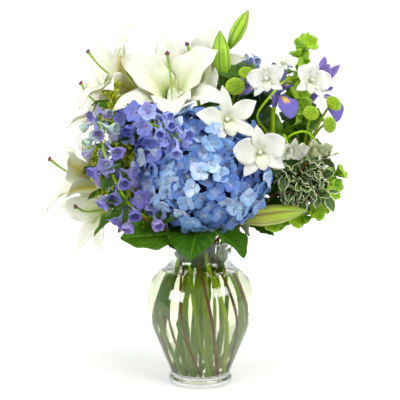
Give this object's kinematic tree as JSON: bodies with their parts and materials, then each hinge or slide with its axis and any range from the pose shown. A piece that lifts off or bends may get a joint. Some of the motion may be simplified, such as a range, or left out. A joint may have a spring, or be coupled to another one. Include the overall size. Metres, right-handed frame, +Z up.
{
  "type": "mixed bouquet of hydrangea and lilies in a glass vase",
  "caption": "Mixed bouquet of a blue hydrangea head, white lilies, orchids, delphinium, iris and greenery standing in water in a clear glass ginger-jar vase.",
  "frame": {"origin": "centre of the vase's flat foot, on the surface it stands on", "axes": "+Z up along the vase's axis; -Y towards the viewer of the arrangement, whose full face the hydrangea head is on; +X to the viewer's right"},
  "size_m": [0.3806, 0.3129, 0.4837],
  "materials": {
    "glass": "gloss",
    "leaf": "satin",
    "stem": "satin",
    "bells": "satin",
    "button": "matte",
    "orchid": "satin",
    "goldenrod": "matte",
    "delphinium": "matte",
    "pittosporum": "satin",
    "pistil": "satin",
    "lily": "satin",
    "iris": "matte",
    "hydrangea": "matte",
    "water": "gloss"
  },
  "bodies": {
    "root": {"vase": "glass", "hydrangea_stem": "leaf", "leafy_left": "leaf", "leafy_back_right": "leaf", "leafy_back_left": "leaf", "lily_stalk_top": "stem", "lily_stalk_left": "stem", "lily_stalk_low": "stem", "lily_stalk_right": "stem", "iris_near_stem": "stem", "iris_far_stem": "stem", "bells_high": "bells", "bells_low": "bells", "button_spray_right": "button", "button_spray_top": "button", "orchid_spray_high_stem": "stem", "orchid_spray_high_bloom_1": "orchid", "orchid_spray_high_bloom_2": "orchid", "orchid_spray_high_bloom_3": "orchid", "orchid_spray_high_bloom_4": "orchid", "orchid_spray_low_stem": "stem", "orchid_spray_low_bloom_1": "orchid", "orchid_spray_low_bloom_2": "orchid", "orchid_spray_low_bloom_3": "orchid", "goldenrod_high": "goldenrod", "goldenrod_low": "goldenrod", "delphinium_left": "delphinium", "delphinium_front": "delphinium", "delphinium_top": "delphinium", "pittosporum": "pittosporum", "lily_front_pistil": "pistil", "lily_top_pistil": "pistil", "lily_left_high_pistil": "pistil", "lily_left_back_pistil": "pistil", "lily_left_pistil": "pistil", "lily_left_low_pistil": "pistil", "lily_front_petals": "lily", "lily_top_petals": "lily", "lily_left_high_petals": "lily", "lily_left_back_petals": "lily", "lily_left_petals": "lily", "lily_left_low_petals": "lily", "iris_near_bloom": "iris", "iris_far_bloom": "iris", "hydrangea_head": "hydrangea", "water": "water"}
  },
  "joints": []
}
